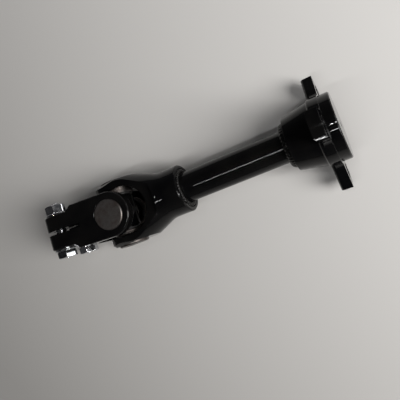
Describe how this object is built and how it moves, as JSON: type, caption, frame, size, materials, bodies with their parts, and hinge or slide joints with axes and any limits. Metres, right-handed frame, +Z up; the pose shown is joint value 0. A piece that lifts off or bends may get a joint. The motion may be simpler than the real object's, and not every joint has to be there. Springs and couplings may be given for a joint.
{
  "type": "universal joint shaft",
  "caption": "Short steering shaft: slit clamp yoke with cross bolts, cross joint in needle bearings, fork yoke, welded tube and lugged flange with a spigot, black painted steel.",
  "frame": {"origin": "centre of the flat face that the flange's three lugs bolt up with, on the shaft's axis", "axes": "+Z up as the part lies at rest on the two lower lugs and flat on the clamp yoke, +X from the joint to the flange along the shaft seen from above, +Y to the left seen from the joint"},
  "size_m": [0.2217, 0.0774, 0.0683],
  "materials": {
    "black_paint": "gloss black",
    "painted_weld": "gloss black over a rippled bead",
    "cap_steel": "plain drawn steel, dulled",
    "ground_steel": "ground",
    "zinc_plate": "zinc plated",
    "seal_rubber": "matte",
    "pad_plastic": "plain"
  },
  "bodies": {
    "shaft": {"fork_yoke": "black_paint", "shaft_tube": "black_paint", "weld_fork_end": "painted_weld", "weld_flange_end": "painted_weld", "coupling_flange": "black_paint", "bearing_cup_fork_left": "cap_steel", "needle_rollers_fork_left": "ground_steel", "thrust_pad_fork_left": "pad_plastic", "bearing_cup_fork_right": "cap_steel", "needle_rollers_fork_right": "ground_steel", "thrust_pad_fork_right": "pad_plastic"},
    "cross": {"cross_spider": "ground_steel", "seal_fork_left": "seal_rubber", "seal_fork_right": "seal_rubber", "seal_clamp_upper": "seal_rubber", "seal_clamp_lower": "seal_rubber"},
    "clamp": {"clamp_yoke": "black_paint", "bearing_cup_clamp_upper": "cap_steel", "needle_rollers_clamp_upper": "ground_steel", "thrust_pad_clamp_upper": "pad_plastic", "bearing_cup_clamp_lower": "cap_steel", "needle_rollers_clamp_lower": "ground_steel", "thrust_pad_clamp_lower": "pad_plastic", "pinch_bolt_upper": "zinc_plate", "pinch_nut_upper": "zinc_plate", "washer_upper_head": "zinc_plate", "washer_upper_nut": "zinc_plate", "pinch_bolt_lower": "zinc_plate", "pinch_nut_lower": "zinc_plate", "washer_lower_head": "zinc_plate", "washer_lower_nut": "zinc_plate"}
  },
  "joints": [
    {"name": "fork_hinge", "type": "hinge", "parent": "shaft", "child": "cross", "pos_m": [-0.15636, 0, -0.00363], "axis": [0, 1, 0], "range_deg": [-25.3, 22.7]},
    {"name": "clamp_hinge", "type": "hinge", "parent": "cross", "child": "clamp", "pos_m": [-0.15636, 0, -0.00363], "axis": [0, 0, 1], "range_deg": [-21.3, 26.7]}
  ]
}
